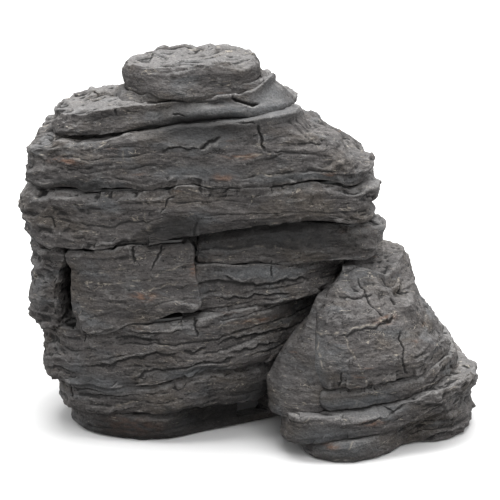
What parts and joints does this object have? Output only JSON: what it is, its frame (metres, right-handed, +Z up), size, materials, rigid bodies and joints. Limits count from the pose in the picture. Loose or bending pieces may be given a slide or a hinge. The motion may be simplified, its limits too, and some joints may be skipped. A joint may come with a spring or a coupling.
{
  "type": "resin cave ornament",
  "caption": "Hollow layered-rock cave ornament for a fish tank, with a leaning side boulder, a front mouth, a rear arch and an air vent.",
  "frame": {"origin": "middle of the overall footprint, on the surface that the pads stand on", "axes": "+X to the boulder's side along the widest extent, +Y to the back with the arch, +Z up"},
  "size_m": [0.3122, 0.2052, 0.2627],
  "materials": {
    "rock_resin": "matte painted stone texture",
    "smoothed_putty": "matte painted, smoothed",
    "bond_epoxy": "matte",
    "pad_rubber": "matte"
  },
  "bodies": {
    "root": {"base_tier": "rock_resin", "plinth_tier": "rock_resin", "waist_tier": "rock_resin", "ledge_tier": "rock_resin", "shelf_tier": "rock_resin", "shoulder_tier": "rock_resin", "upper_tier": "rock_resin", "crown_tier": "rock_resin", "cap_slab": "rock_resin", "front_block": "rock_resin", "left_buttress": "rock_resin", "boulder_foot": "rock_resin", "boulder_slab": "rock_resin", "boulder_neck": "rock_resin", "boulder_head": "rock_resin", "cap_collar": "smoothed_putty", "boulder_seam_putty": "smoothed_putty", "stack_bond_lines": "bond_epoxy", "block_bond_lines": "bond_epoxy", "boulder_bond_lines": "bond_epoxy", "soft_pads": "pad_rubber"}
  },
  "joints": []
}
